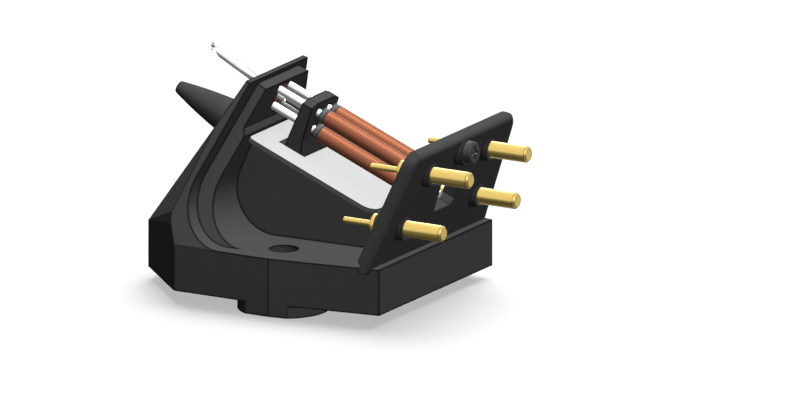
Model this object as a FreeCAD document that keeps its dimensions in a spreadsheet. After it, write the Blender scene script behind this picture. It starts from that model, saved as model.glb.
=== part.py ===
import FreeCAD, Part
import os
import re
import Sketcher
from FreeCAD import Placement, Rotation, Vector

# Turntable stylus cartridge with its covers off, standing on its mounting face, in millimetres.
# +X runs to the terminal pins, +Z away from the headshell. The origin is midway between the two
# mounting holes, on the face that meets the headshell. The generator is built along one tilted
# line, the bench: it passes over the holes at axis_height and falls towards the pins.

SIZES = {
    # Mounting slab, seen from above. Its two pads meet the headshell.
    "hole_pitch": 12.7,
    "mount_bore": 2.05,
    "pad_radius": 3.35,
    "pad_height": 0.9,
    "slab_thickness": 3.4,
    "slab_front": 12.35,
    "slab_rear": 8.84,
    "slab_half_width": 9.35,
    "front_half_width": 4.37,
    "shoulder": 0.4,
    "rear_half_width": 8.09,
    # Bench line: its tilt in degrees and its height over the slab.
    "tilt": 22,
    "axis_height": 7.8,
    # Front wall. A foot is how far in front of the holes a leaning face meets the slab.
    "brow_front": 6.13,
    "brow_height": 8.07,
    "crest_front": 4.43,
    "crest_height": 11.3,
    "crest_half_width": 4.07,
    "facet_height": 1.85,
    "ledge_low": 1.38,
    "ledge_high": 2.1,
    "rim_foot": 8.59,
    "rim_fillet": 3.35,
    "wall_foot": 7.65,
    "step_foot": 7.23,
    "wall_top": 1.27,
    "step_top": 7.86,
    "step_bottom": 7.3,
    "wall_fillet": 3.3,
    "wall_half_width": 8.1,
    "wall_top_half_width": 2.96,
    "wall_top_height": 10.7,
    "wall_overlap": 0.15,
    # Nose: a tapered finger on the front wall, below the bench line.
    "nose_drop": 3.64,
    "nose_reach": 11.87,
    "nose_tip_radius": 0.485,
    "nose_root": 5.9,
    "nose_root_radius": 1.5,
    "nose_flare": 38,
    "nose_edge": 0.15,
    # Central block and the backing plate on it.
    "block_half_width": 2.95,
    "block_draft": 6.16,
    "backing_drop": 2.32,
    "backing_thickness": 0.35,
    "backing_half_width": 3.81,
    "backing_length": 11,
    "backing_front_corner": 0.4,
    "backing_rear_corner": 1,
    "slot_front": 2.27,
    "slot_length": 2.29,
    "slot_half_width": 2,
    # Pole holder: a post that stands in the backing plate's slot.
    "holder_front_foot": 1.79,
    "holder_front_top": 1.63,
    "holder_rear_top": 0.78,
    "holder_rear_waist": 0.58,
    "holder_rear_foot": 0.22,
    "holder_waist": 1.38,
    "holder_top": 1.52,
    "holder_half_width": 1.93,
    "holder_flat": 1.22,
    "holder_bevel": 0.27,
    # Poles, spools and windings.
    "pole_radius": 0.305,
    "pole_across": 0.72,
    "pole_above": 0.67,
    "pole_overrun": 0.355,
    "slip": 0.01,
    "spool_collar_radius": 0.58,
    "spool_collar_length": 0.41,
    "spool_start": 0.03,
    "spool_flange_radius": 0.6,
    "spool_flange_thickness": 0.08,
    "spool_tube_radius": 0.37,
    "spool_end_thickness": 0.25,
    "coil_radius": 0.605,
    # Armature, damper and suspension: a stud on the post and a thin wire in its bore.
    "pivot_ahead": 4.65,
    "armature_radius": 0.35,
    "armature_rear": 3.71,
    "armature_front": 5.87,
    "armature_bore": 0.29,
    "armature_bore_depth": 0.5,
    "damper_radius": 0.95,
    "damper_bore": 0.42,
    "damper_half_length": 0.35,
    "damper_gap": 0.05,
    "swing_bore": 0.52,
    "stud_gap": 0.08,
    "stud_front_radius": 0.31,
    "stud_root_radius": 0.37,
    "stud_seat": 0.6,
    "wire_radius": 0.09,
    "wire_overlap": 0.4,
    # Cantilever: a tube whose end is pressed flat and bent, with the stylus in it.
    "rise": 5.6,
    "tube_radius": 0.31,
    "tube_length": 3.85,
    "crimp_length": 0.55,
    "leaf_half_width": 0.25,
    "leaf_thickness": 0.12,
    "leaf_drop": -0.04,
    "leaf_end": 4.97,
    "leaf_end_drop": 0.2,
    "stylus_place": 4.59,
    "stylus_half_width": 0.12,
    "stylus_root": 0.1,
    "stylus_shank": 0.28,
    "stylus_point": 0.29,
    "stylus_tip": 0.01,
    # Terminal board behind, leaning square to the bench line, in a groove of the slab.
    "board_foot": 6.95,
    "board_thickness": 1.1,
    "board_top": 8.75,
    "board_half_width": 8.6,
    "board_side_lean": 0.168,
    "board_corner": 1.4,
    "board_corner_radius": 1.55,
    "board_edge": 0.4,
    "relief_low": 0.2,
    "relief_high": 0.52,
    "tongue_depth": 0.35,
    "tongue_thickness": 0.5,
    "groove_slope": 0.35,
    "groove_slack": 0.02,
    # Window of the board, measured from the bench line.
    "window_low": 1.3,
    "window_high": 1.3,
    "window_near_low": 0.98,
    "window_near_high": 1.43,
    "window_far_low": 1.37,
    "window_far": 1.78,
    "window_corner": 0.85,
    # Terminal pins and their bosses: height over the slab and distance from the middle.
    "upper_pin_height": 6.39,
    "upper_pin_across": 4.15,
    "lower_pin_height": 2.49,
    "lower_pin_across": 5.28,
    "pin_radius": 0.6,
    "pin_seat_radius": 0.4,
    "pin_reach": 3.06,
    "pin_chamfer": 0.15,
    "pin_boss_radius": 0.875,
    "pin_boss_proud": 0.36,
    "pin_boss_inner": 0.75,
    "pin_flange_radius": 0.78,
    "pin_flange_thickness": 0.35,
    "pin_tail_radius": 0.225,
    "pin_tail_length": 2.5,
    # Cover screw and its boss.
    "screw_below_top": 1.55,
    "screw_boss_radius": 0.99,
    "screw_boss_proud": 0.45,
    "screw_head_radius": 0.825,
    "screw_head_height": 0.6,
    "screw_head_edge": 0.12,
    "screw_shank_radius": 0.45,
    "screw_shank_length": 1.3,
    "recess_length": 0.95,
    "recess_width": 0.2,
    "recess_depth": 0.22,
}

# Turns that bring the drawing plane onto the named plane of the part.
PLANES = {
    "XY": Rotation(),
    "XZ": Rotation(Vector(1, 0, 0), 90),
    "YZ": Rotation(Vector(1, 1, 1), 120),
}

doc = FreeCAD.newDocument("stylus_cartridge")
dims = doc.addObject("Spreadsheet::Sheet", "dims")
for row, (alias, size) in enumerate(SIZES.items(), start=1):
    dims.set(f"A{row}", alias)
    dims.set(f"B{row}", str(size))
    dims.setAlias(f"B{row}", alias)
doc.recompute()


def formula(text):
    """The text with each size's name written as its cell in the sheet."""
    return re.sub(r"[a-z_]+", lambda word: f"dims.{word[0]}" if word[0] in SIZES else word[0], text)


def measure(text):
    """The value of a formula, in millimetres or degrees."""
    return float(dims.evalExpression(formula(text)))


def bind(piece, **formulas):
    """Ties properties of a piece to the sheet."""
    for name, text in formulas.items():
        piece.setExpression(name, formula(text))


def put(piece, x="0", y="0", z="0"):
    """Places a piece without turning it."""
    for name, text in (("x", x), ("y", y), ("z", z)):
        piece.setExpression(f"Placement.Base.{name}", formula(text))


SLAB_TOP = "(pad_height + slab_thickness)"
BENCH_HEIGHT = f"({SLAB_TOP} + axis_height)"

# Distance of the block's top below the bench line.
BLOCK_DROP = "(backing_drop + backing_thickness)"

# Length by which a cutting solid runs past what it cuts.
PAST = "1"

# Height, from the slab's top face, to which the frame's upright parts are drawn into the slab.
SUNK = "(-slab_thickness / 2)"

# Height of the cover screw over the slab.
SCREW_HEIGHT = "(board_top - screw_below_top)"

# Length of a terminal pin's boss, through the board.
PIN_BOSS_LENGTH = "(board_thickness / cos(tilt) + pin_boss_proud + pin_boss_inner)"


def put_on_bench(piece, along="0", across="0", above="0", extra="0"):
    """Places a piece in the frame of the bench line, turned by its tilt and an extra angle."""
    piece.Placement = Placement(Vector(), Rotation(Vector(0, 1, 0), measure("tilt")))
    piece.setExpression("Placement.Rotation.Angle", formula(f"tilt + {extra}"))
    put(
        piece,
        x=f"({along}) * cos(tilt) + ({above}) * sin(tilt)",
        y=across,
        z=f"{BENCH_HEIGHT} - ({along}) * sin(tilt) + ({above}) * cos(tilt)",
    )


def wall_plane(foot):
    """Where, along the bench line, lies a leaning face whose foot is this far ahead of the holes."""
    return f"((axis_height * tan(tilt) - ({foot})) * cos(tilt))"


# Inner face of the terminal board, along the bench line.
BOARD_INNER = wall_plane("-board_foot")

# End of the suspension stud's seat in the pole holder, along the bench line.
STUD_END = "(stud_seat - holder_front_top)"


def lean(foot, height):
    """X of a leaning face at a height over the slab."""
    return f"(({height}) * tan(tilt) - ({foot}))"


def top_of(foot, above):
    """Height over the slab at which a leaning face ends, a distance above the bench line."""
    return f"((axis_height + ({above}) / cos(tilt) + ({foot}) * tan(tilt)) * cos(tilt) ^ 2)"


def middle_of_arc(start, end, radius):
    """The middle point of the short arc, which bulges left of its path if the radius is positive."""
    half = (end - start) * 0.5
    side = Vector(-half.y, half.x, 0).normalize()
    sagitta = abs(radius) - (radius ** 2 - half.Length ** 2) ** 0.5
    return start + half + side * (sagitta if radius > 0 else -sagitta)


def draw_loop(sketch, corners):
    """Draws a closed outline. A corner's third entry is the radius of the arc that leads to it."""
    places = [Vector(measure(corner[0]), measure(corner[1]), 0) for corner in corners]
    edges = []
    for index, corner in enumerate(corners):
        start = places[index - 1]
        end = places[index]
        if len(corner) == 3:
            middle = middle_of_arc(start, end, measure(corner[2]))
            edge = sketch.addGeometry(Part.Arc(start, middle, end), False)
            name = f"radius_{edge}"
            sketch.addConstraint(Sketcher.Constraint("Radius", edge, abs(measure(corner[2]))))
            sketch.renameConstraint(sketch.ConstraintCount - 1, name)
            sketch.setExpression(f"Constraints.{name}", formula(f"abs({corner[2]})"))
        else:
            edge = sketch.addGeometry(Part.LineSegment(start, end), False)
        edges.append(edge)
    for index, place in enumerate(places):
        edge = edges[index]
        after = edges[(index + 1) % len(edges)]
        end = end_at(sketch, edge, place)
        meeting_end = end_at(sketch, after, place)
        sketch.addConstraint(Sketcher.Constraint("Coincident", edge, end, after, meeting_end))
        for kind, text, axis in (("DistanceX", corners[index][0], -2), ("DistanceY", corners[index][1], -1)):
            if text == "0":
                sketch.addConstraint(Sketcher.Constraint("PointOnObject", edge, end, axis))
                continue
            name = f"{kind}_{edge}"
            sketch.addConstraint(Sketcher.Constraint(kind, -1, 1, edge, end, measure(text)))
            sketch.renameConstraint(sketch.ConstraintCount - 1, name)
            sketch.setExpression(f"Constraints.{name}", formula(text))


def end_at(sketch, edge, place):
    """Which end of an edge lies at the place: 1 for its start, 2 for its end."""
    return 1 if sketch.getPoint(edge, 1).distanceToPoint(place) < 1e-6 else 2


def draw_circle(sketch, x, y, radius):
    """Draws a circle, with its centre and radius tied to the sheet."""
    centre = Vector(measure(x), measure(y), 0)
    edge = sketch.addGeometry(Part.Circle(centre, Vector(0, 0, 1), measure(radius)), False)
    for kind, text, axis in (("DistanceX", x, -2), ("DistanceY", y, -1)):
        if text == "0":
            sketch.addConstraint(Sketcher.Constraint("PointOnObject", edge, 3, axis))
            continue
        sketch.addConstraint(Sketcher.Constraint(kind, -1, 1, edge, 3, measure(text)))
        sketch.renameConstraint(sketch.ConstraintCount - 1, f"{kind}_{edge}")
        sketch.setExpression(f"Constraints.{kind}_{edge}", formula(text))
    sketch.addConstraint(Sketcher.Constraint("Radius", edge, measure(radius)))
    sketch.renameConstraint(sketch.ConstraintCount - 1, f"radius_{edge}")
    sketch.setExpression(f"Constraints.radius_{edge}", formula(radius))


def new_body(name):
    """An empty body."""
    return doc.addObject("PartDesign::Body", name)


def body_sketch(body, name, plane):
    """A sketch on one of the body's own origin planes."""
    support = next(part for part in body.Origin.OriginFeatures if part.Role == f"{plane}_Plane")
    sketch = body.newObject("Sketcher::SketchObject", name)
    sketch.AttachmentSupport = (support, [""])
    sketch.MapMode = "FlatFace"
    return sketch


def pad(body, sketch, length, both_ways=False, backwards=False):
    """Raises a sketch into a solid."""
    feature = body.newObject("PartDesign::Pad", f"{sketch.Name}_pad")
    feature.Profile = sketch
    feature.SideType = "Symmetric" if both_ways else "One side"
    feature.Reversed = backwards
    bind(feature, Length=length)
    return feature


def cut(body, sketch, length, both_ways=False, backwards=False):
    """Cuts a sketch's area out of the body."""
    before = body.Shape.Volume
    feature = body.newObject("PartDesign::Pocket", f"{sketch.Name}_cut")
    feature.Profile = sketch
    feature.Type = "Length"
    feature.SideType = "Symmetric" if both_ways else "One side"
    feature.Reversed = backwards
    bind(feature, Length=length)
    doc.recompute()
    if body.Shape.Volume >= before:
        raise ValueError(f"{feature.Name} cuts nothing")
    return feature


def turn(name, corners):
    """A body turned about its X axis. The corners give (along, radius)."""
    body = new_body(name)
    sketch = body_sketch(body, f"{name}_outline", "XY")
    draw_loop(sketch, corners)
    feature = body.newObject("PartDesign::Revolution", f"{name}_turned")
    feature.Profile = sketch
    axis = next(part for part in body.Origin.OriginFeatures if part.Role == "X_Axis")
    feature.ReferenceAxis = (axis, [""])
    feature.Angle = 360
    doc.recompute()
    return body


def prism(name, plane, corners, length):
    """A straight prism, raised both ways from an outline on a plane of the part."""
    sketch = doc.addObject("Sketcher::SketchObject", f"{name}_outline")
    sketch.Placement = Placement(Vector(), PLANES[plane])
    draw_loop(sketch, corners)
    solid = doc.addObject("Part::Extrusion", name)
    solid.Base = sketch
    solid.DirMode = "Normal"
    solid.Solid = True
    solid.Symmetric = True
    bind(solid, LengthFwd=length)
    return solid


def rod(name, radius, length):
    """A plain cylinder along X that starts at X = 0."""
    solid = doc.addObject("Part::Cylinder", name)
    solid.Placement = Placement(Vector(), Rotation(Vector(0, 1, 0), 90))
    bind(solid, Radius=radius, Height=length)
    return solid


def bench_rod(name, radius, length, along, across="0", above="0"):
    """A plain cylinder along the bench line, with its front end at the given place."""
    solid = doc.addObject("Part::Cylinder", name)
    put_on_bench(solid, along=along, across=across, above=above, extra="90")
    bind(solid, Radius=radius, Height=length)
    return solid


def join(name, pieces):
    """One solid from several that overlap or touch."""
    solid = doc.addObject("Part::MultiFuse", name)
    solid.Shapes = pieces
    solid.Refine = True
    return solid


def overlap(name, pieces):
    """What several solids share."""
    solid = doc.addObject("Part::MultiCommon", name)
    solid.Shapes = pieces
    solid.Refine = True
    return solid


def remove(name, base, tools):
    """A solid with the tools' volume taken away."""
    solid = doc.addObject("Part::Cut", name)
    solid.Base = base
    solid.Tool = tools[0] if len(tools) == 1 else join(f"{name}_tools", tools)
    solid.Refine = True
    return solid


def lift(pieces):
    """Raises pieces that are drawn from the slab's top face to their height."""
    for piece in pieces:
        put(piece, z=SLAB_TOP)


# Mounting slab

def slab_plan():
    """The slab's outline from above, with corners cut at 45 degrees in front."""
    corner_x = "slab_half_width - front_half_width - slab_front"
    near = [
        ("-slab_front", "-front_half_width"),
        (corner_x, "-slab_half_width"),
        ("shoulder", "-slab_half_width"),
        ("slab_rear", "-rear_half_width"),
    ]
    far = [(x, y[1:]) for x, y in reversed(near)]
    return near + far


def make_slab():
    """The slab with its pads, mounting holes and the groove for the terminal board."""
    body = new_body("slab")
    plan = body_sketch(body, "slab_plan", "XY")
    draw_loop(plan, slab_plan())
    pad(body, plan, "pad_height + slab_thickness")
    doc.recompute()

    relief = body_sketch(body, "pad_relief", "XY")
    margin = "slab_front + slab_half_width"
    draw_loop(relief, [(f"-({margin})", f"-({margin})"), (margin, f"-({margin})"), (margin, margin),
                       (f"-({margin})", margin)])
    for side in ("-", ""):
        draw_circle(relief, "0", f"{side}hole_pitch / 2", "pad_radius")
    cut(body, relief, "pad_height", backwards=True)

    bores = body_sketch(body, "mounting_bores", "XY")
    for side in ("-", ""):
        draw_circle(bores, "0", f"{side}hole_pitch / 2", "mount_bore / 2")
    cut(body, bores, "pad_height + slab_thickness", backwards=True)

    groove = body_sketch(body, "board_groove", "XZ")
    outer = "(board_foot + board_thickness / cos(tilt) + groove_slack)"
    inner = "(board_foot + (board_thickness - tongue_thickness) / cos(tilt) - groove_slack)"
    floor = "-tongue_depth"
    draw_loop(groove, [
        (f"{inner} - groove_slope", SLAB_TOP),
        (f"{inner} + ({floor}) * tan(tilt)", f"{SLAB_TOP} + {floor}"),
        (f"{outer} + ({floor}) * tan(tilt)", f"{SLAB_TOP} + {floor}"),
        (outer, SLAB_TOP),
    ])
    cut(body, groove, f"2 * slab_half_width + {PAST}", both_ways=True)
    return body


# Front wall

def rim_half_width(height):
    """Half of the rim's width at a height over the slab."""
    return f"(slab_half_width - ({height}) * (slab_half_width - crest_half_width) / crest_height)"


def fillet_run(radius):
    """Distance from a leaning face's foot to where its fillet meets the slab."""
    return f"({radius}) / tan((90 - tilt) / 2)"


def make_facet_cutter(name, corner, right, left):
    """All that lies outside the plane through three points, which turn left as seen from outside."""
    outward = (right - corner).cross(left - corner).normalize()
    reach = measure("slab_front + slab_half_width")
    along = (right - corner).normalize() * reach
    across = outward.cross(along)
    ends = [
        corner + along + across,
        corner - along + across,
        corner - along - across,
        corner + along - across,
    ]
    cutter = doc.addObject("Part::Feature", name)
    cutter.Shape = Part.Face(Part.makePolygon(ends + ends[:1])).extrude(outward * reach)
    return cutter


def shoulder_at(side, height):
    """The point of the slab's cut corner that lies in the rim's side, at a height over the slab."""
    y = measure(rim_half_width(height))
    return Vector(y - measure("front_half_width") - measure("slab_front"), side * y, measure(height))


def make_corner_cutters(side):
    """Cutters for the slanting facet and the ledge below it; side is -1 for the near front corner."""
    corner = Vector(-measure("slab_front"), side * measure("front_half_width"), 0)
    shoulder = shoulder_at(side, "facet_height")
    brow_y = measure(rim_half_width("brow_height"))
    brow = Vector(-measure("brow_front"), side * brow_y, measure("brow_height"))
    share = measure("(ledge_high - facet_height) / (brow_height - facet_height)")
    ledge_low = shoulder_at(side, "ledge_low")
    ledge_high = shoulder + (brow - shoulder) * share
    if side < 0:
        return [make_facet_cutter("near_facet_cutter", corner, shoulder, brow),
                make_facet_cutter("near_ledge_cutter", corner, ledge_low, ledge_high)]
    return [make_facet_cutter("far_facet_cutter", corner, brow, shoulder),
            make_facet_cutter("far_ledge_cutter", corner, ledge_high, ledge_low)]


def make_rim():
    """The outer leaf of the front wall."""
    top = top_of("rim_foot", "crest_height * cos(tilt) - axis_height * cos(tilt) - crest_front * sin(tilt)")
    run = fillet_run("rim_fillet")
    side_view = prism("rim_side_view", "XZ", [
        ("-slab_front", SUNK),
        (f"{run} - rim_foot", SUNK),
        (f"{run} - rim_foot", "0"),
        (lean("rim_foot", f"{run} * cos(tilt)"), f"{run} * cos(tilt)", "rim_fillet"),
        (lean("rim_foot", top), top),
        ("-crest_front", "crest_height"),
        ("-brow_front", "brow_height"),
        ("-slab_front", "0"),
    ], f"2 * (slab_half_width + {PAST})")
    over_crest = f"crest_height + {PAST}"
    half_top = rim_half_width(over_crest)
    end_view = prism("rim_end_view", "YZ", [
        ("-slab_half_width", SUNK),
        ("slab_half_width", SUNK),
        ("slab_half_width", "0"),
        (half_top, over_crest),
        (f"-{half_top}", over_crest),
        ("-slab_half_width", "0"),
    ], f"2 * (slab_front + {PAST})")
    plan = prism("rim_plan", "XY", slab_plan(), f"2 * ({over_crest})")
    shape = overlap("rim_shape", [side_view, end_view, plan])
    return remove("rim", shape, make_corner_cutters(-1) + make_corner_cutters(1))


def make_inner_wall():
    """The thicker leaf behind the rim, which carries the damper."""
    top_front = top_of("rim_foot", "wall_top")
    top_rear = top_of("wall_foot", "wall_top")
    run = fillet_run("wall_fillet")
    side_view = prism("wall_side_view", "XZ", [
        (f"{lean('rim_foot', SUNK)} - wall_overlap", SUNK),
        (f"{run} - step_foot", SUNK),
        (f"{run} - step_foot", "0"),
        (lean("step_foot", f"{run} * cos(tilt)"), f"{run} * cos(tilt)", "wall_fillet"),
        (lean("step_foot", "step_bottom"), "step_bottom"),
        (lean("wall_foot", "step_top"), "step_top"),
        (lean("wall_foot", top_rear), top_rear),
        (f"{lean('rim_foot', top_front)} - wall_overlap", f"{top_front} + wall_overlap * tan(tilt)"),
    ], "2 * slab_half_width")
    half_top = "(wall_half_width - crest_height * (wall_half_width - wall_top_half_width) / wall_top_height)"
    end_view = prism("wall_end_view", "YZ", [
        ("-wall_half_width", SUNK),
        ("wall_half_width", SUNK),
        ("wall_half_width", "0"),
        (half_top, "crest_height"),
        (f"-{half_top}", "crest_height"),
        ("-wall_half_width", "0"),
    ], f"2 * (slab_front + {PAST})")
    plan = prism("wall_plan", "XY", slab_plan(), f"2 * (crest_height + {PAST})")
    return overlap("inner_wall", [side_view, end_view, plan])


def make_block():
    """The central block, with sides that spread downwards, under the backing plate."""
    deep = "(axis_height + slab_thickness)"
    foot_half_width = f"(block_half_width + ({deep} - {BLOCK_DROP}) * tan(block_draft))"
    section = prism("block_section", "YZ", [
        (f"-{foot_half_width}", f"-{deep}"),
        (foot_half_width, f"-{deep}"),
        ("block_half_width", f"-{BLOCK_DROP}"),
        ("-block_half_width", f"-{BLOCK_DROP}"),
    ], "2 * (slab_front + slab_rear)")
    put_on_bench(section)
    side_view = prism("block_side_view", "XZ", [
        ("-rim_foot", SUNK),
        (f"board_foot + {SUNK} * tan(tilt)", SUNK),
        ("board_foot + crest_height * tan(tilt)", "crest_height"),
        (lean("rim_foot", "crest_height"), "crest_height"),
        ("-rim_foot", "0"),
    ], "2 * slab_half_width")
    put(side_view, z=SLAB_TOP)
    return overlap("block", [section, side_view])


def make_nose():
    """The tapered finger in front of the wall."""
    nose = turn("nose", [
        ("-nose_reach", "0"),
        ("-nose_root", "0"),
        ("-nose_root", "nose_root_radius"),
        ("-nose_reach + nose_edge", "nose_tip_radius", "-nose_flare"),
        ("-nose_reach", "nose_tip_radius - nose_edge", "-nose_edge"),
    ])
    put_on_bench(nose, above="-nose_drop")
    return nose


def make_body_frame():
    """The one-piece frame of the cartridge."""
    rim = make_rim()
    inner_wall = make_inner_wall()
    lift([rim, inner_wall])
    solid = join("frame_solid", [make_slab(), rim, inner_wall, make_block(), make_nose()])
    rear_face = wall_plane("wall_foot")
    seat_floor = "(pivot_ahead + damper_half_length + damper_gap)"
    bores = [
        bench_rod("swing_hole", "swing_bore", f"slab_front + {rear_face} + {PAST}", "-slab_front"),
        bench_rod("damper_seat", "damper_radius + damper_gap", f"{seat_floor} + {rear_face} + {PAST}",
                  f"-{seat_floor}"),
    ]
    return remove("body_frame", solid, bores)


# Backing plate and pole holder

def make_backing_plate():
    """The white plate on the block, with the slot for the pole holder."""
    body = new_body("backing_plate")
    front = wall_plane("step_foot")
    rear = f"({front} + backing_length)"
    outline = body_sketch(body, "backing_outline", "XY")
    draw_loop(outline, [
        (f"{front} + backing_front_corner", "-backing_half_width", "-backing_front_corner"),
        (f"{rear} - backing_rear_corner", "-backing_half_width"),
        (rear, "-backing_half_width + backing_rear_corner", "-backing_rear_corner"),
        (rear, "backing_half_width - backing_rear_corner"),
        (f"{rear} - backing_rear_corner", "backing_half_width", "-backing_rear_corner"),
        (f"{front} + backing_front_corner", "backing_half_width"),
        (front, "backing_half_width - backing_front_corner", "-backing_front_corner"),
        (front, "-backing_half_width + backing_front_corner"),
    ])
    pad(body, outline, "backing_thickness", backwards=True)
    doc.recompute()
    slot = body_sketch(body, "holder_slot", "XY")
    draw_loop(slot, [
        ("-slot_front", "-slot_half_width"),
        ("slot_length - slot_front", "-slot_half_width"),
        ("slot_length - slot_front", "slot_half_width"),
        ("-slot_front", "slot_half_width"),
    ])
    cut(body, slot, "backing_thickness")
    put_on_bench(body, above="-backing_drop")
    return body


def make_pole_holder():
    """The post that carries the poles, with bevelled top corners and a splayed foot."""
    body = new_body("pole_holder")
    side_view = body_sketch(body, "holder_side_view", "XZ")
    draw_loop(side_view, [
        ("-holder_front_foot", f"-{BLOCK_DROP}"),
        ("-holder_rear_foot", f"-{BLOCK_DROP}"),
        ("-holder_rear_waist", "-holder_waist"),
        ("-holder_rear_top", "holder_top"),
        ("-holder_front_top", "holder_top"),
    ])
    pad(body, side_view, "2 * holder_half_width", both_ways=True)
    doc.recompute()
    bevels = body_sketch(body, "holder_bevels", "YZ")
    for side in ("", "-"):
        draw_loop(bevels, [
            (f"{side}holder_flat", "holder_top"),
            (f"{side}holder_half_width", "holder_top - holder_bevel"),
            (f"{side}holder_half_width", "holder_top"),
        ])
    cut(body, bevels, "4 * holder_front_foot", both_ways=True)
    bores = body_sketch(body, "pole_bores", "YZ")
    for _, across, above in bench_places():
        draw_circle(bores, across, above, "pole_radius + slip")
    cut(body, bores, "4 * holder_front_foot", both_ways=True)
    put_on_bench(body)
    seat_length = "holder_front_foot"
    seat = bench_rod("stud_bore", "stud_root_radius + slip", seat_length, f"{STUD_END} - {seat_length}")
    return remove("pole_holder_bored", body, [seat])


# Poles, spools and windings

def bench_places():
    """Name, across and above for each of the four poles."""
    for level, above in (("upper", "pole_above"), ("lower", "-pole_above")):
        for side, across in (("near", "-pole_across"), ("far", "pole_across")):
            yield f"{level}_{side}", across, above


def make_pole(name):
    """A plain rod from the front wall to the window of the terminal board."""
    front = wall_plane("wall_foot")
    return turn(f"pole_{name}", [
        (front, "0"),
        (f"{BOARD_INNER} + pole_overrun", "0"),
        (f"{BOARD_INNER} + pole_overrun", "pole_radius"),
        (front, "pole_radius"),
    ])


def make_spool(name):
    """The spool of one coil: collar, thin flange, tube and end flange."""
    bore = "pole_radius + slip"
    end_flange = f"{BOARD_INNER} - spool_end_thickness"
    collar_start = "spool_start - spool_collar_length"
    return turn(f"coil_spool_{name}", [
        (collar_start, bore),
        (BOARD_INNER, bore),
        (BOARD_INNER, "spool_collar_radius"),
        (end_flange, "spool_collar_radius"),
        (end_flange, "spool_tube_radius"),
        ("spool_start + spool_flange_thickness", "spool_tube_radius"),
        ("spool_start + spool_flange_thickness", "spool_flange_radius"),
        ("spool_start", "spool_flange_radius"),
        ("spool_start", "spool_collar_radius"),
        (collar_start, "spool_collar_radius"),
    ])


def make_winding(name):
    """The copper winding on one spool."""
    front = "spool_start + spool_flange_thickness"
    rear = f"{BOARD_INNER} - spool_end_thickness"
    return turn(f"coil_winding_{name}", [
        (front, "spool_tube_radius + slip"),
        (rear, "spool_tube_radius + slip"),
        (rear, "coil_radius"),
        (front, "coil_radius"),
    ])


# Armature, damper and suspension

def make_armature():
    """The sleeve between the pole ends, bored at the rear for the suspension wire."""
    armature = turn("armature", [
        ("-armature_front", "0"),
        ("-armature_rear - armature_bore_depth", "0"),
        ("-armature_rear - armature_bore_depth", "armature_bore"),
        ("-armature_rear", "armature_bore"),
        ("-armature_rear", "armature_radius"),
        ("-armature_front", "armature_radius"),
    ])
    put_on_bench(armature)
    return armature


def make_damper():
    """The elastomer ring round the armature, in the front wall's bore."""
    damper = turn("damper", [
        ("-damper_half_length", "damper_bore"),
        ("damper_half_length", "damper_bore"),
        ("damper_half_length", "damper_radius"),
        ("-damper_half_length", "damper_radius"),
    ])
    put_on_bench(damper, along="-pivot_ahead")
    return damper


def make_suspension_stud():
    """The bored stud from the pole holder to just short of the armature."""
    bore = "wire_radius + slip"
    stud = turn("suspension_stud", [
        ("stud_gap - armature_rear", bore),
        (STUD_END, bore),
        (STUD_END, "stud_root_radius"),
        ("-holder_front_foot", "stud_root_radius"),
        ("stud_gap - armature_rear", "stud_front_radius"),
    ])
    put_on_bench(stud)
    return stud


def make_suspension_wire():
    """The thin wire through the stud into the armature's bore."""
    wire = turn("suspension_wire", [
        ("-armature_rear - wire_overlap", "0"),
        (STUD_END, "0"),
        (STUD_END, "wire_radius"),
        ("-armature_rear - wire_overlap", "wire_radius"),
    ])
    put_on_bench(wire)
    return wire


# Cantilever and stylus

def make_stylus():
    """A square shank with a four-sided point, upright in the cantilever's leaf."""
    body = new_body("stylus")
    corners = [
        ("stylus_half_width", "stylus_half_width"),
        ("-stylus_half_width", "stylus_half_width"),
        ("-stylus_half_width", "-stylus_half_width"),
        ("stylus_half_width", "-stylus_half_width"),
    ]
    shank = body_sketch(body, "stylus_shank_section", "XY")
    draw_loop(shank, corners)
    pad(body, shank, "stylus_shank")
    doc.recompute()
    point = body_sketch(body, "stylus_point_section", "XY")
    draw_loop(point, corners)
    point.setExpression("AttachmentOffset.Base.z", formula("stylus_shank"))
    tip = pad(body, point, "stylus_point")
    tip.setExpression("TaperAngle", formula("-atan((stylus_half_width - stylus_tip) / stylus_point)"))
    body.Placement = Placement(Vector(), Rotation(Vector(0, 0, 1), 45))
    drop = "(leaf_drop + (leaf_end_drop - leaf_drop) * (stylus_place - tube_length - crimp_length)" \
           " / (leaf_end - tube_length - crimp_length))"
    put(
        body,
        x=f"-armature_front * cos(tilt) - stylus_place * cos(tilt + rise) - {drop} * sin(tilt + rise)",
        z=f"{BENCH_HEIGHT} + armature_front * sin(tilt) + stylus_place * sin(tilt + rise)"
          f" - {drop} * cos(tilt + rise) - stylus_root",
    )
    return body


def make_section(kind, name, along, drop, **sizes):
    """A round or oval section of the cantilever's pressed end."""
    section = doc.addObject(kind, name)
    section.Placement = Placement(Vector(), PLANES["YZ"])
    bind(section, **sizes)
    put(section, x=f"-({along})", z=f"-({drop})")
    return section


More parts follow.
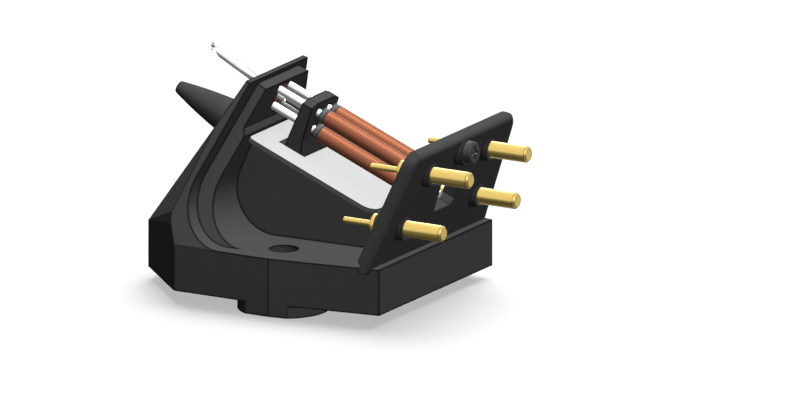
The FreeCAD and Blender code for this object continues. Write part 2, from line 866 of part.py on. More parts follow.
def make_cantilever(stylus):
    """A tube that is pressed flat at its end and bent, so that the stylus stands upright."""
    tube = turn("cantilever_tube", [
        ("-tube_length", "0"),
        ("-tube_radius * sin(rise)", "0"),
        ("-tube_radius * sin(rise)", "tube_radius"),
        ("-tube_length", "tube_radius"),
    ])
    leaf_start = "tube_length + crimp_length"
    sections = [
        make_section("Part::Circle", "tube_end", "tube_length", "0", Radius="tube_radius"),
        make_section("Part::Ellipse", "leaf_start", leaf_start, "leaf_drop",
                     MajorRadius="leaf_half_width", MinorRadius="leaf_thickness / 2"),
        make_section("Part::Ellipse", "leaf_tip", "leaf_end", "leaf_end_drop",
                     MajorRadius="leaf_half_width", MinorRadius="leaf_thickness / 2"),
    ]
    pressed = []
    for name, pair in (("crimp", sections[:2]), ("leaf", sections[1:])):
        loft = doc.addObject("Part::Loft", name)
        loft.Sections = pair
        loft.Solid = True
        loft.Ruled = True
        pressed.append(loft)
    solid = join("cantilever_solid", [tube] + pressed)
    put_on_bench(solid, along="-armature_front", extra="rise")
    return remove("cantilever", solid, [stylus])


# Terminal board, pins and screw

def pin_places():
    """Name, height and across for each of the four terminal pins."""
    for level in ("upper", "lower"):
        for side, sign in (("near", "-"), ("far", "")):
            yield f"{level}_{side}", f"{level}_pin_height", f"{sign}{level}_pin_across"


def boss_face(height, proud):
    """X of the upright end of a boss on the board's rear, at a height over the slab."""
    return f"(board_foot + board_thickness / cos(tilt) + ({height}) * tan(tilt) + ({proud}))"


def x_rod(name, radius, length, start, across, height):
    """A plain cylinder along X at a height over the slab."""
    solid = rod(name, radius, length)
    put(solid, x=start, y=across, z=f"{SLAB_TOP} + {height}")
    return solid


def round_edges(name, base, radius, wanted):
    """Rounds the edges that the test picks."""
    doc.recompute()
    fillet = doc.addObject("Part::Fillet", name)
    fillet.Base = base
    fillet.Edges = [
        (number, radius, radius)
        for number, edge in enumerate(base.Shape.Edges, start=1)
        if wanted(edge)
    ]
    return fillet


def on_board_rim(edge):
    """Whether an edge bounds a broad face of the board, above the slab."""
    normal = Rotation(Vector(0, 1, 0), measure("tilt")).multVec(Vector(1, 0, 0))
    inner_face = measure("board_foot * cos(tilt)")
    outer_face = inner_face + measure("board_thickness")
    middle = edge.valueAt((edge.FirstParameter + edge.LastParameter) / 2)
    points = [vertex.Point for vertex in edge.Vertexes] + [middle]
    in_face = any(
        all(abs(point.dot(normal) - face) < 1e-4 for point in points)
        for face in (inner_face, outer_face)
    )
    return in_face and middle.z > measure("board_corner")


def make_board():
    """The board with rounded edges, bosses, window and bores. A tongue stands in the slab's groove."""
    inner_top = "board_foot + board_top * tan(tilt)"
    outer_foot = "board_foot + board_thickness / cos(tilt)"
    tongue_foot = "board_foot + (board_thickness - tongue_thickness) / cos(tilt)"
    side_view = prism("board_side_view", "XZ", [
        ("board_foot + relief_high * tan(tilt)", "relief_high"),
        (f"{tongue_foot} + relief_low * tan(tilt)", "relief_low"),
        (f"{tongue_foot} - tongue_depth * tan(tilt)", "-tongue_depth"),
        (f"{outer_foot} - tongue_depth * tan(tilt)", "-tongue_depth"),
        (f"{inner_top} + board_thickness * cos(tilt)", "board_top - board_thickness * sin(tilt)"),
        (inner_top, "board_top"),
    ], f"2 * (board_half_width + {PAST})")
    half_top = "(board_half_width - board_top * board_side_lean)"
    half_corner = "(board_half_width - (board_top - board_corner) * board_side_lean)"
    half_low = "(board_half_width + tongue_depth * board_side_lean)"
    end_view = prism("board_end_view", "YZ", [
        (f"-{half_low}", "-tongue_depth"),
        (half_low, "-tongue_depth"),
        (half_corner, "board_top - board_corner"),
        (f"{half_top} - board_corner", "board_top", "-board_corner_radius"),
        (f"board_corner - {half_top}", "board_top"),
        (f"-{half_corner}", "board_top - board_corner", "-board_corner_radius"),
    ], "4 * slab_rear")
    plate = round_edges("board_rounded", overlap("board_plate", [side_view, end_view]),
                        measure("board_edge"), on_board_rim)
    lift([plate])

    bosses = []
    bores = []
    for name, height, across in pin_places():
        start = f"{boss_face(height, 'pin_boss_proud')} - {PIN_BOSS_LENGTH}"
        bosses.append(x_rod(f"pin_boss_{name}", "pin_boss_radius", PIN_BOSS_LENGTH, start, across, height))
        bores.append(x_rod(f"pin_bore_{name}", "pin_seat_radius + slip", f"{PIN_BOSS_LENGTH} + 2 * {PAST}",
                           f"{start} - {PAST}", across, height))
    screw_face = boss_face(SCREW_HEIGHT, "screw_boss_proud")
    bosses.append(x_rod("screw_boss", "screw_boss_radius", "screw_boss_proud + board_thickness / 2",
                        f"{screw_face} - screw_boss_proud - board_thickness / 2", "0", SCREW_HEIGHT))
    bores.append(x_rod("screw_bore", "screw_shank_radius + slip", f"screw_shank_length + {PAST}",
                       f"{screw_face} - screw_shank_length", "0", SCREW_HEIGHT))

    window = prism("board_window", "YZ", [
        ("-window_near_low", "-window_low"),
        ("window_far_low", "-window_low"),
        ("window_far", "-window_corner"),
        ("window_far", "window_high"),
        ("-window_near_high", "window_high"),
    ], "4 * board_thickness")
    put_on_bench(window, along=f"{BOARD_INNER} + board_thickness / 2")
    return remove("terminal_board", join("board_solid", [plate] + bosses), bores + [window])


def make_pin(name, height, across):
    """A gold plated pin, thinner in its boss, its flange against the boss on the board's inner side."""
    flange_front = f"-{PIN_BOSS_LENGTH} - pin_flange_thickness"
    pin = turn(f"terminal_pin_{name}", [
        (f"{flange_front} - pin_tail_length", "0"),
        ("pin_reach", "0"),
        ("pin_reach", "pin_radius - pin_chamfer"),
        ("pin_reach - pin_chamfer", "pin_radius"),
        ("0", "pin_radius"),
        ("0", "pin_seat_radius"),
        (f"-{PIN_BOSS_LENGTH}", "pin_seat_radius"),
        (f"-{PIN_BOSS_LENGTH}", "pin_flange_radius"),
        (flange_front, "pin_flange_radius"),
        (flange_front, "pin_tail_radius"),
        (f"{flange_front} - pin_tail_length", "pin_tail_radius"),
    ])
    put(pin, x=boss_face(height, "pin_boss_proud"), y=across, z=f"{SLAB_TOP} + {height}")
    return pin


def make_screw():
    """The cross-recess screw that holds the cover, in its boss on the board."""
    screw = turn("cover_screw", [
        ("-screw_shank_length", "0"),
        ("screw_head_height", "0"),
        ("screw_head_height", "screw_head_radius - screw_head_edge"),
        ("screw_head_height - screw_head_edge", "screw_head_radius"),
        ("0", "screw_head_radius"),
        ("0", "screw_shank_radius"),
        ("-screw_shank_length", "screw_shank_radius"),
    ])
    for name, half_y, half_z in (("flat", "recess_length / 2", "recess_width / 2"),
                                 ("upright", "recess_width / 2", "recess_length / 2")):
        slot = body_sketch(screw, f"recess_{name}", "YZ")
        slot.setExpression("AttachmentOffset.Base.z", formula("screw_head_height"))
        draw_loop(slot, [
            (f"-{half_y}", f"-{half_z}"),
            (half_y, f"-{half_z}"),
            (half_y, half_z),
            (f"-{half_y}", half_z),
        ])
        cut(screw, slot, "recess_depth")
    put(screw, x=boss_face(SCREW_HEIGHT, "screw_boss_proud"), z=f"{SLAB_TOP} + {SCREW_HEIGHT}")
    return screw


# The whole cartridge: node name and solid

def make_parts():
    """Every sub-part by its name."""
    parts = {
        "body_frame": make_body_frame(),
        "backing_plate": make_backing_plate(),
        "pole_holder": make_pole_holder(),
        "damper": make_damper(),
        "armature": make_armature(),
        "suspension_stud": make_suspension_stud(),
        "suspension_wire": make_suspension_wire(),
        "terminal_board": make_board(),
        "cover_screw": make_screw(),
    }
    for name, across, above in bench_places():
        for kind, make in (("pole", make_pole), ("coil_spool", make_spool), ("coil_winding", make_winding)):
            piece = make(name)
            put_on_bench(piece, across=across, above=above)
            parts[f"{kind}_{name}"] = piece
    for name, height, across in pin_places():
        parts[f"terminal_pin_{name}"] = make_pin(name, height, across)
    parts["stylus"] = make_stylus()
    parts["cantilever"] = make_cantilever(parts["stylus"])
    return parts


def export(parts):
    """Checks the whole document, then writes one file for each sub-part."""
    doc.recompute()
    for item in doc.Objects:
        if "Invalid" in item.State or "Error" in item.State:
            raise ValueError(f"{item.Name} did not build")
    for name, piece in parts.items():
        piece.Label = name
        if piece.Shape.isNull() or not piece.Shape.isValid():
            raise ValueError(f"{name} has no valid shape")
    os.makedirs("parts", exist_ok=True)
    for name, piece in parts.items():
        piece.Shape.exportStep(f"parts/{name}.step")
        box = piece.Shape.BoundBox
        print(f"{name}: {len(piece.Shape.Solids)} solid, {piece.Shape.Volume:.3f} mm3, "
              f"X {box.XMin:.2f} to {box.XMax:.2f}, Y {box.YMin:.2f} to {box.YMax:.2f}, "
              f"Z {box.ZMin:.2f} to {box.ZMax:.2f}")


export(make_parts())
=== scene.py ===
import math

import bmesh
import bpy
from mathutils import Matrix, Vector


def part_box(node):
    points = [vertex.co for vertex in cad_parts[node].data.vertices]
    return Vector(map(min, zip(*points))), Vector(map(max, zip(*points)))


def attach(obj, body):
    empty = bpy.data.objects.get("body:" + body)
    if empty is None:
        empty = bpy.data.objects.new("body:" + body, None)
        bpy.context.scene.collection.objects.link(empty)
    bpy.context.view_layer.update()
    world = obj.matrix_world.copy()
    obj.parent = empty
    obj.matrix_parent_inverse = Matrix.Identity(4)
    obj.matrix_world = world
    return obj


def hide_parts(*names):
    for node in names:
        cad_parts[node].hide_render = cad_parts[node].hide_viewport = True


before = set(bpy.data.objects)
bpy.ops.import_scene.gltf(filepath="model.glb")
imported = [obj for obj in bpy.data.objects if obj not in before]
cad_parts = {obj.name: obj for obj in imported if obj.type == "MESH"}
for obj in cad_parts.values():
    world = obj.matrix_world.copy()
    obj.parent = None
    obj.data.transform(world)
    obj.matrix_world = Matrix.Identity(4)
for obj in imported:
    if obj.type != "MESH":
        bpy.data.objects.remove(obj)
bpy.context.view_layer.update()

# Studio: a cartridge on a white table, seen from its near side, from a little round towards the pins
# and from a little above. The main lamps over the part cast no shadows, so that its dark faces stay
# even, and the table has lamps of its own, which give one soft shadow.


class Signal:
    """A socket in a node tree. Arithmetic on it adds Math nodes, and node() adds any other node."""

    def __init__(self, tree, socket=None):
        self.tree = tree
        self.socket = socket

    def node(self, kind, settings=None, sockets=None, output=0):
        """Adds a node: its settings first, then the values or links of its sockets."""
        node = self.tree.nodes.new(kind)
        for name, value in (settings or {}).items():
            setattr(node, name, value)
        for name, value in (sockets or {}).items():
            if isinstance(value, Signal):
                self.tree.links.new(value.socket, node.inputs[name])
            else:
                node.inputs[name].default_value = value
        return Signal(self.tree, node.outputs[output] if node.outputs else None)

    def maths(self, operation, first, second):
        return self.node("ShaderNodeMath", {"operation": operation}, {0: first, 1: second})

    def __add__(self, other):
        return self.maths("ADD", self, other)

    def __radd__(self, other):
        return self.maths("ADD", other, self)

    def __sub__(self, other):
        return self.maths("SUBTRACT", self, other)

    def __rsub__(self, other):
        return self.maths("SUBTRACT", other, self)

    def __mul__(self, other):
        return self.maths("MULTIPLY", self, other)

    def __rmul__(self, other):
        return self.maths("MULTIPLY", other, self)

    def __gt__(self, other):
        return self.maths("GREATER_THAN", self, other)

    def __abs__(self):
        return self.maths("ABSOLUTE", self, 0)

    def clipped(self):
        """This signal, held between 0 and 1."""
        return self.node("ShaderNodeClamp", None, {"Value": self})

    def along(self, axis):
        """The part of this vector along an axis: X, Y or Z."""
        return self.node("ShaderNodeSeparateXYZ", None, {0: self}, output=axis)

    def dot(self, other):
        """How much this unit vector points the way of another: 1 for the same way, 0 for square to it."""
        settings = {"operation": "DOT_PRODUCT"}
        return self.node("ShaderNodeVectorMath", settings, {0: self, 1: other}, output="Value")

    def mix(self, first, second):
        """A colour between two, by this signal."""
        ends = [colour if isinstance(colour, Signal) else (*colour, 1) for colour in (first, second)]
        sockets = {"Factor": self, 6: ends[0], 7: ends[1]}
        return self.node("ShaderNodeMix", {"data_type": "RGBA"}, sockets, output=2)


def clear_tree(holder):
    """Empties the node tree of a material or a world, and gives a signal to start from."""
    holder.use_nodes = True
    holder.node_tree.nodes.clear()
    return Signal(holder.node_tree)


def grey(tone):
    """A colour without hue, from 0 for black to 1 for white."""
    return (tone, tone, tone)


surround_fill = 0.07
extra_fill_at_pins = 0.035

world = bpy.data.worlds.new("white_surround")
bpy.context.scene.world = world
start = clear_tree(world)
seen = start.node("ShaderNodeLightPath", output="Is Camera Ray")
mirrored = start.node("ShaderNodeLightPath", output="Is Glossy Ray")
through = start.node("ShaderNodeLightPath", output="Is Transmission Ray")
shown = (seen + mirrored + through) > 0.5
towards_pins = start.node("ShaderNodeTexCoord", output="Generated").along("X")
fill = surround_fill + extra_fill_at_pins * towards_pins
strength = shown + (1 - shown) * fill
background = start.node("ShaderNodeBackground", None, {"Color": (1, 1, 1, 1), "Strength": strength})
start.node("ShaderNodeOutputWorld", None, {"Surface": background})

# Table: white to the camera and dim to light that bounces off it. In mirrors it shows painted shade,
# darkest on the near side and under the part, and lighter towards the far side.
table_reach = 0.6
near_painted_shade_in_mirrors = 0.17
far_painted_shade_in_mirrors = 0.6
rise_to_far_tone = 60
tone_of_bounced_light = 0.1

table_finish = bpy.data.materials.new("white_table")
start = clear_tree(table_finish)
seen = start.node("ShaderNodeLightPath", output="Is Camera Ray")
mirrored = start.node("ShaderNodeLightPath", output="Is Glossy Ray")
across = start.node("ShaderNodeTexCoord", output="Object").along("Y")
far_side = (rise_to_far_tone * across).clipped()
painted_shade_in_mirrors = far_side.mix(grey(near_painted_shade_in_mirrors), grey(far_painted_shade_in_mirrors))
tone = mirrored.mix(seen.mix(grey(tone_of_bounced_light), grey(1)), painted_shade_in_mirrors)
matte = start.node("ShaderNodeBsdfDiffuse", None, {"Color": tone})
start.node("ShaderNodeOutputMaterial", None, {"Surface": matte})

table_mesh = bpy.data.meshes.new("table")
table_corners = [(x * table_reach, y * table_reach, 0) for x, y in ((-1, -1), (1, -1), (1, 1), (-1, 1))]
table_mesh.from_pydata(table_corners, [], [(0, 1, 2, 3)])
table_mesh.materials.append(table_finish)
table = bpy.data.objects.new("table", table_mesh)
bpy.context.scene.collection.objects.link(table)

table_only = bpy.data.collections.new("lit_by_table_light")
table_only.objects.link(table)
all_but_table = bpy.data.collections.new("lit_by_lamps_over_part")
all_but_table.objects.link(table)
all_but_table.collection_objects[0].light_linking.link_state = "EXCLUDE"


def hang_sun(name, lit, direction, strength, width, shadows=False):
    """A lamp far away in a direction, for a collection of things; width is its spread in degrees."""
    lamp = bpy.data.lights.new(name, "SUN")
    lamp.energy = strength
    lamp.angle = math.radians(width)
    lamp.use_shadow = shadows
    holder = bpy.data.objects.new(name, lamp)
    holder.rotation_mode = "QUATERNION"
    holder.rotation_quaternion = Vector(direction).to_track_quat("Z", "Y")
    holder.light_linking.receiver_collection = lit
    bpy.context.scene.collection.objects.link(holder)


hang_sun("overhead_light", all_but_table, (0.12, 0.05, 1), strength=2.0, width=24)
hang_sun("side_light", all_but_table, (0.75, -0.62, 0.72), strength=1.08, width=24)
hang_sun("rear_light", all_but_table, (-0.55, 0.75, 0.45), strength=0.5, width=24)
hang_sun("soft_overhead_light", all_but_table, (0.05, 0, 1), strength=0.35, width=40, shadows=True)
hang_sun("light_behind", all_but_table, (-0.17, 0.84, 0.6), strength=0.2, width=14, shadows=True)
hang_sun("table_light", table_only, (-0.1, 0.6, 1), strength=2.3, width=60, shadows=True)
hang_sun("table_fill", table_only, (0, 0, 1), strength=1.4, width=10)

view_round = math.radians(30)
view_up = math.radians(15)
view_middle = Vector((0.005893, 0, 0.007211))
view_distance = 0.2
picture_width = 800
pixels_per_metre = 14000

towards_camera = Vector((
    math.sin(view_round) * math.cos(view_up),
    -math.cos(view_round) * math.cos(view_up),
    math.sin(view_up),
))
camera = bpy.data.objects.new("camera", bpy.data.cameras.new("camera"))
camera.data.type = "ORTHO"
camera.data.ortho_scale = picture_width / pixels_per_metre
camera.data.clip_start = 0.001
camera.data.clip_end = 5
camera.location = view_middle + view_distance * towards_camera
camera.rotation_mode = "QUATERNION"
camera.rotation_quaternion = (-towards_camera).to_track_quat("-Z", "Y")
bpy.context.scene.collection.objects.link(camera)
bpy.context.scene.camera = camera
bpy.context.scene.view_settings.view_transform = "Standard"

# Frame: slab, leaning front wall, nose and central block in one satin black moulding of stiff plastic.
# The mould leaves a fine grain; painted shade darkens the edges, inner corners and a crease down the slab's
# two long sides.

mould_cloud_waves = 260
mould_grain_waves = 11000
mould_grain_depth = 0.00002
edge_shade_width = 0.00021
edge_shade_strength = 30
crease_place = 0.0004
crease_line_half_width = 0.00004
crease_line_depth = 0.00005
square_enough = 0.999
slab_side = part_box("body_frame")[1][1]


def surface(start, colour, sockets):
    """Ends a material with one Principled shader."""
    sockets = {"Base Color": colour, **sockets}
    shader = start.node("ShaderNodeBsdfPrincipled", None, sockets)
    start.node("ShaderNodeOutputMaterial", None, {"Surface": shader})


def shade(colour, share):
    """A colour made darker, to a share of its own brightness."""
    return tuple(share * part for part in colour)


def noise(start, waves, detail):
    """A cloudy pattern from 0 to 1 in the piece's own space, with so many waves to a metre."""
    position = start.node("ShaderNodeTexCoord", output="Object")
    return start.node("ShaderNodeTexNoise", None, {"Vector": position, "Scale": waves, "Detail": detail})


def painted_edge_shade(start, width, strength):
    """1 along the piece's edges and inner corners, falling to 0 at a distance of about the width; it places
    the thin dark lines of painted shade.
    """
    rounded = start.node("ShaderNodeBevel", {"samples": 6}, {"Radius": width})
    plain = start.node("ShaderNodeNewGeometry", output="Normal")
    return (strength * (1 - rounded.dot(plain))).clipped()


def painted_crease_line(start, crease_at):
    """1 on a thin line down the slab's sides, at a place along it where their faces turn: a crease painted
    dark, as shade.
    """
    position = start.node("ShaderNodeTexCoord", output="Object")
    off_line = abs(position.along("X") - crease_at) > crease_line_half_width
    on_side = abs(position.along("Y")) > slab_side - crease_line_depth
    return (1 - off_line) * on_side


def flat_faces_kept(start, direction):
    """The surface's normal, with the true one on the large faces square to a direction."""
    true_normal = start.node("ShaderNodeNewGeometry", output="True Normal")
    smooth = start.node("ShaderNodeNewGeometry", output="Normal")
    on_face = abs(true_normal.dot(direction)) > square_enough
    sockets = {"Factor": on_face, 4: smooth, 5: true_normal}
    return start.node("ShaderNodeMix", {"data_type": "VECTOR"}, sockets, output=1)


def moulded_plastic(name, dark, light, roughness, sheen, edge_shade_share=0.12, crease_at=None, flat=None):
    """Filled plastic from a fine-grained mould: cloudy tone, fine pimples, and painted shade as thin dark
    lines at the edges and inner corners. The arguments give the lines' brightness beside the face's, the
    place of a painted dark line down a crease along the piece, and a direction that its large faces are
    square to."""
    material = bpy.data.materials.new(name)
    start = clear_tree(material)
    cloud = noise(start, waves=mould_cloud_waves, detail=3.0)
    grain = noise(start, waves=mould_grain_waves, detail=2.0)
    painted_line_colour = shade(dark, edge_shade_share)
    # Painted shade: the colour darkens to thin lines at the edges and inner corners.
    edge = painted_edge_shade(start, edge_shade_width, edge_shade_strength)
    colour = edge.mix(cloud.mix(dark, light), painted_line_colour)
    # Painted shade: a thin dark line down the crease on the slab's sides.
    if crease_at is not None:
        colour = painted_crease_line(start, crease_at).mix(colour, painted_line_colour)
    relief = {"Height": grain, "Strength": 0.12, "Distance": mould_grain_depth}
    if flat is not None:
        relief["Normal"] = flat_faces_kept(start, flat)
    surface(start, colour, {
        "Roughness": roughness + 0.12 * (grain - 0.5),
        "Specular IOR Level": sheen,
        "Normal": start.node("ShaderNodeBump", None, relief),
    })
    return material


def show_in_others(piece, bounces):
    """Keeps a piece out of its neighbours' gloss, and its light off them unless it bounces."""
    piece.visible_glossy = False
    piece.visible_diffuse = bounces


def dress(node, material, bounces=True):
    """Gives a node of the frame its finish, and says if it throws light on the pieces round it."""
    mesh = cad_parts[node].data
    mesh.materials.clear()
    mesh.materials.append(material)
    show_in_others(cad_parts[node], bounces)


frame_plastic = moulded_plastic("satin_black_moulding", grey(0.078), grey(0.094), roughness=0.62, sheen=0.0,
                                crease_at=crease_place)
dress("body_frame", frame_plastic)

# Backing plate: a sheet of hard plastic with a smooth white face, and painted shade in dark grey on its
# sheared edges. It is bedded on the sloping block under the coils.

tilt = math.radians(22)
up_from_slope = (math.sin(tilt), 0, math.cos(tilt))
least_lift_of_white = 0.8

white_sheet = bpy.data.materials.new("smooth_white_sheet")
start = clear_tree(white_sheet)
mottle = noise(start, waves=500, detail=3.0)
on_top = start.node("ShaderNodeTexCoord", output="Normal").dot(up_from_slope) > least_lift_of_white
white_face = mottle.mix((0.68, 0.69, 0.69), (0.72, 0.73, 0.73))
# Painted shade: every face but the top is dark grey.
painted_side_shade = mottle.mix(grey(0.17), grey(0.2))
surface(start, on_top.mix(painted_side_shade, white_face), {
    "Roughness": 0.4 + 0.08 * mottle,
    "Specular IOR Level": 0.1,
})
dress("backing_plate", white_sheet, bounces=False)

# Pole holder: the black moulded post that stands in the plate's slot. The four poles pass through
# its bores, two by two.

post_plastic = moulded_plastic("black_post_moulding", (0.08, 0.08, 0.081), (0.095, 0.095, 0.096),
                               roughness=0.6, sheen=0.0)
dress("pole_holder", post_plastic)

# Poles, armature and suspension: soft iron rods and sleeve, ground and polished.
# The stud behind the armature is turned from grey metal, with a bright wire through it.

grinding_stretch = 0.06
grinding_depth = 0.00001
grazing_tint = grey(0.0)


def ground_metal(name, colour, roughness, waves, metallic=1.0, line_width=0.00006, line_strength=6):
    """Metal ground along the coils' slope: long faint streaks in its gloss, which dims at grazing angles,
    and painted shade as thin dark lines at the edges."""
    material = bpy.data.materials.new(name)
    start = clear_tree(material)
    along_slope = start.node("ShaderNodeMapping", None, {
        "Vector": start.node("ShaderNodeTexCoord", output="Object"),
        "Rotation": (0, -tilt, 0),
        "Scale": (grinding_stretch, 1, 1),
    })
    streak = start.node("ShaderNodeTexNoise", None, {"Vector": along_slope, "Scale": waves, "Detail": 4.0})
    edge = painted_edge_shade(start, line_width, line_strength)
    relief = {"Height": streak, "Strength": 0.1, "Distance": grinding_depth}
    # Painted shade: the colour darkens to thin lines at the edges.
    surface(start, edge.mix(streak.mix(shade(colour, 0.93), colour), shade(colour, 0.12)), {
        "Metallic": metallic,
        "Specular Tint": (*grazing_tint, 1),
        "Roughness": roughness + 0.14 * (streak - 0.5),
        "Normal": start.node("ShaderNodeBump", None, relief),
    })
    return material


polished_iron = ground_metal("polished_iron", (0.93, 0.93, 0.95), roughness=0.28, waves=9000)
grey_metal = ground_metal("turned_grey_metal", grey(0.25), roughness=0.3, waves=9000)
places = ("upper_near", "upper_far", "lower_near", "lower_far")
for place in places:
    dress(f"pole_{place}", polished_iron, bounces=False)
dress("armature", polished_iron)
dress("suspension_wire", polished_iron)
dress("suspension_stud", grey_metal)

# Spools: thin-walled tubes moulded in smooth dark grey plastic, each with a collar towards the post.
# They are slid over the poles with the windings on them.

spool_plastic = moulded_plastic("dark_grey_spool", grey(0.15), grey(0.18), roughness=0.45, sheen=0.1)
for place in places:
    dress(f"coil_spool_{place}", spool_plastic)

# Windings: enamelled copper wire wound in close turns round each spool, its outer layer showing.
# Each is a tube along the slope of the coils, with the wire's round backs pressed into its outside.

bench_height = 0.0121
bench = Matrix.Translation((0, 0, bench_height)) @ Matrix.Rotation(tilt, 4, "Y")
turn_pitch = 0.0002
wire_depth = 0.00002
winding_inner = 0.00038
winding_radius = 0.000605
winding_sides = 40
rings_in_turn = 8

copper = bpy.data.materials.new("enamelled_copper")
start = clear_tree(copper)
tint = noise(start, waves=2600, detail=3.0)
surface(start, tint.mix((0.33, 0.115, 0.06), (0.37, 0.13, 0.068)), {
    "Metallic": 0.5,
    "Roughness": 0.4 + 0.08 * tint,
    "Specular IOR Level": 0.0,
})


def put_in_scene(name, mesh, material, body, slot, *nodes):
    """Shows a mesh as a piece that stands for nodes of the frame."""
    mesh.materials.append(material)
    piece = bpy.data.objects.new(name, mesh)
    bpy.context.scene.collection.objects.link(piece)
    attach(piece, body)
    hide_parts(*nodes)
    return piece


def round_point(along, centre, radius, angle):
    """A point at a distance and an angle round a centre, at a place along the slope."""
    return (along, centre[0] + radius * math.sin(angle), centre[1] + radius * math.cos(angle))


def wound_coil(name, first, last, centre):
    """A tube whose outside is the close turns of a wire, from one place on the slope to another."""
    sides = winding_sides
    turns = round((last - first) / turn_pitch)
    rings = turns * rings_in_turn + 1
    verts = []
    for ring in range(rings):
        along = first + (last - first) * ring / (rings - 1)
        fullness = min(1, ring / rings_in_turn, (rings - 1 - ring) / rings_in_turn)
        for side in range(sides):
            angle = 2 * math.pi * side / sides
            phase = math.pi * (ring / rings_in_turn - side / sides)
            dip = wire_depth * (1 - abs(math.sin(phase))) * fullness + wire_depth * (1 - fullness)
            verts.append(round_point(along, centre, winding_radius - dip, angle))
    for along in (first, last):
        for side in range(sides):
            verts.append(round_point(along, centre, winding_inner, 2 * math.pi * side / sides))
    faces = []
    for ring in range(rings - 1):
        for side in range(sides):
            nearest = ring * sides + side
            beside = ring * sides + (side + 1) % sides
            faces.append((nearest, beside, beside + sides, nearest + sides))
    inner_first = rings * sides
    inner_last = inner_first + sides
    outer_last = (rings - 1) * sides
    for side in range(sides):
        after = (side + 1) % sides
        faces.append((side, inner_first + side, inner_first + after, after))
        faces.append((outer_last + side, outer_last + after, inner_last + after, inner_last + side))
        faces.append((inner_first + side, inner_last + side, inner_last + after, inner_first + after))
    mesh = bpy.data.meshes.new(name)
    mesh.from_pydata([bench @ Vector(vert) for vert in verts], [], faces)
    mesh.shade_smooth()
    return mesh


for place in places:
    name = f"wire_turns_{place}"
    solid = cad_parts[f"coil_winding_{place}"].data
    points = [bench.inverted() @ vert.co for vert in solid.vertices]
    low, high = [[pick(point[axis] for point in points) for axis in range(3)] for pick in (min, max)]
    centre = [(low[axis] + high[axis]) / 2 for axis in (1, 2)]
    mesh = wound_coil(name, low[0], high[0], centre)
    coil = put_in_scene(name, mesh, copper, "frame", "copper_wire", f"coil_winding_{place}")
    show_in_others(coil, bounces=False)

# Damper: a ring of brown elastomer, moulded and seated in the front wall, round the armature.
# Its give lets the cantilever swing and brings it back.

elastomer = bpy.data.materials.new("brown_elastomer")
start = clear_tree(elastomer)
speck = noise(start, waves=4000, detail=3.0)
surface(start, speck.mix((0.1, 0.022, 0.004), (0.14, 0.034, 0.008)), {
    "Roughness": 0.55 + 0.15 * speck,
    "Specular IOR Level": 0.2,
})
dress("damper", elastomer)

# Cantilever: a drawn tube of light metal, held in the armature, pressed flat and bent down at its
# end, with the stylus set in the flat leaf. One skin is drawn through its sections.

cantilever_rise = math.radians(5.6)
cantilever_start = -0.00587
tube_frame = bench @ Matrix.Translation((cantilever_start, 0, 0)) @ Matrix.Rotation(cantilever_rise, 4, "Y")
tube_radius = 0.00031
tube_sides = 32

# Each section is its distance from the start, half its width, half its height, and its lift.
tube_sections = [
    (0.0, tube_radius, tube_radius, 0.0),
    (0.0019, tube_radius, tube_radius, 0.0),
    (0.00378, tube_radius, tube_radius, 0.0),
    (0.00388, 0.000308, 0.000295, 0.000006),
    (0.00398, 0.0003, 0.00025, 0.000016),
    (0.0041, 0.000288, 0.00017, 0.00003),
    (0.00422, 0.000278, 0.0001, 0.00004),
    (0.00434, 0.00027, 0.000065, 0.00004),
    (0.0045, 0.000262, 0.000055, 0.000015),
    (0.0047, 0.00025, 0.00005, -0.000055),
    (0.00484, 0.000225, 0.00005, -0.00011),
    (0.00493, 0.00018, 0.000048, -0.000145),
    (0.00498, 0.00012, 0.000045, -0.000163),
    (0.005, 0.00004, 0.000025, -0.000172),
]


def turn_faces_outward(mesh):
    """Gives all faces of a closed mesh the same way out."""
    work = bmesh.new()
    work.from_mesh(mesh)
    bmesh.ops.recalc_face_normals(work, faces=work.faces)
    work.to_mesh(mesh)
    work.free()


def pressed_tube(name):
    """One skin through the tube's round and flattened sections, closed at both ends."""
    sides = tube_sides
    verts = []
    for distance, half_width, half_height, lift in tube_sections:
        for side in range(sides):
            angle = 2 * math.pi * side / sides
            verts.append((-distance, half_width * math.sin(angle), lift + half_height * math.cos(angle)))
    faces = [tuple(range(sides))]
    for ring in range(0, len(verts) - sides, sides):
        for side in range(sides):
            after = (side + 1) % sides
            faces.append((ring + after, ring + side, ring + sides + side, ring + sides + after))
    faces.append(tuple(reversed(range(len(verts) - sides, len(verts)))))
    mesh = bpy.data.meshes.new(name)
    mesh.from_pydata([tube_frame @ Vector(vert) for vert in verts], [], faces)
    mesh.shade_smooth()
    turn_faces_outward(mesh)
    return mesh


drawn_tube = ground_metal("drawn_tube", (0.93, 0.93, 0.95), roughness=0.28, waves=7000)
put_in_scene("pressed_cantilever", pressed_tube("pressed_cantilever"), drawn_tube, "moving_system",
             "cantilever_metal", "cantilever")

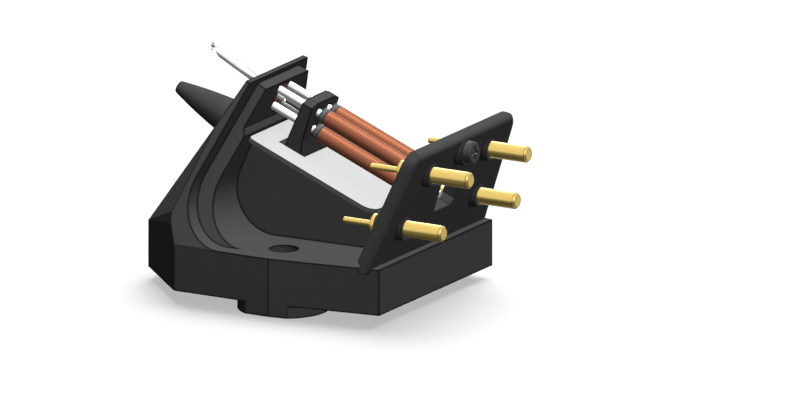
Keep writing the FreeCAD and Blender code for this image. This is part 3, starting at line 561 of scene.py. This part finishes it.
# Stylus: a shank of dark diamond, ground to a point and set in a hole through the cantilever's leaf.
# Its facets are polished, with fine marks of the grinding.

diamond = bpy.data.materials.new("ground_diamond")
start = clear_tree(diamond)
facet = noise(start, waves=9000, detail=2.0)
surface(start, facet.mix((0.05, 0.05, 0.055), (0.11, 0.11, 0.12)), {
    "Roughness": 0.12 + 0.1 * facet,
    "IOR": 2.4,
})
dress("stylus", diamond)

# Terminal board: a plate moulded in satin black plastic, with rounded edges, a window, and a boss
# for each pin. It leans back square to the coils and stands in a groove of the slab.

out_from_board = (math.cos(tilt), 0, -math.sin(tilt))
board_plastic = moulded_plastic("satin_black_board", (0.078, 0.078, 0.079), (0.092, 0.092, 0.093),
                                roughness=0.6, sheen=0.0, edge_shade_share=0.55, flat=out_from_board)
dress("terminal_board", board_plastic)

# Terminal pins: turned from brass and gold plated, each with a flange and a thin tail behind the
# board. They are set in the board's bosses and point out level with the slab.

turning_squeeze = 0.05
gold_edge_shade_width = 0.00012
gold_edge_shade_strength = 30


def plated(name, colour):
    """Gold plate on turned brass: faint turning marks in the gloss, and painted shade as thin dark lines at
    the edges.
    """
    material = bpy.data.materials.new(name)
    start = clear_tree(material)
    rings = start.node("ShaderNodeMapping", None, {
        "Vector": start.node("ShaderNodeTexCoord", output="Object"),
        "Scale": (1, turning_squeeze, turning_squeeze),
    })
    mark = start.node("ShaderNodeTexNoise", None, {"Vector": rings, "Scale": 12000.0, "Detail": 3.0})
    skin = noise(start, waves=900, detail=2.0).mix(shade(colour, 0.94), colour)
    edge = painted_edge_shade(start, gold_edge_shade_width, gold_edge_shade_strength)
    # Painted shade: the colour darkens to thin lines at the edges.
    surface(start, edge.mix(skin, shade(colour, 0.25)), {
        "Metallic": 1.0,
        "Roughness": 0.26 + 0.1 * mark,
    })
    return material


gold = plated("gold_plate", (0.84, 0.61, 0.18))
for place in places:
    dress(f"terminal_pin_{place}", gold, bounces=False)

# Cover screw: a small screw of blackened steel with a cross recess, driven into its boss on the
# board above the window.

blackened_steel = ground_metal("blackened_steel", grey(0.09), roughness=0.45, waves=6000, metallic=0.5,
                               line_width=0.00012, line_strength=20)
dress("cover_screw", blackened_steel)
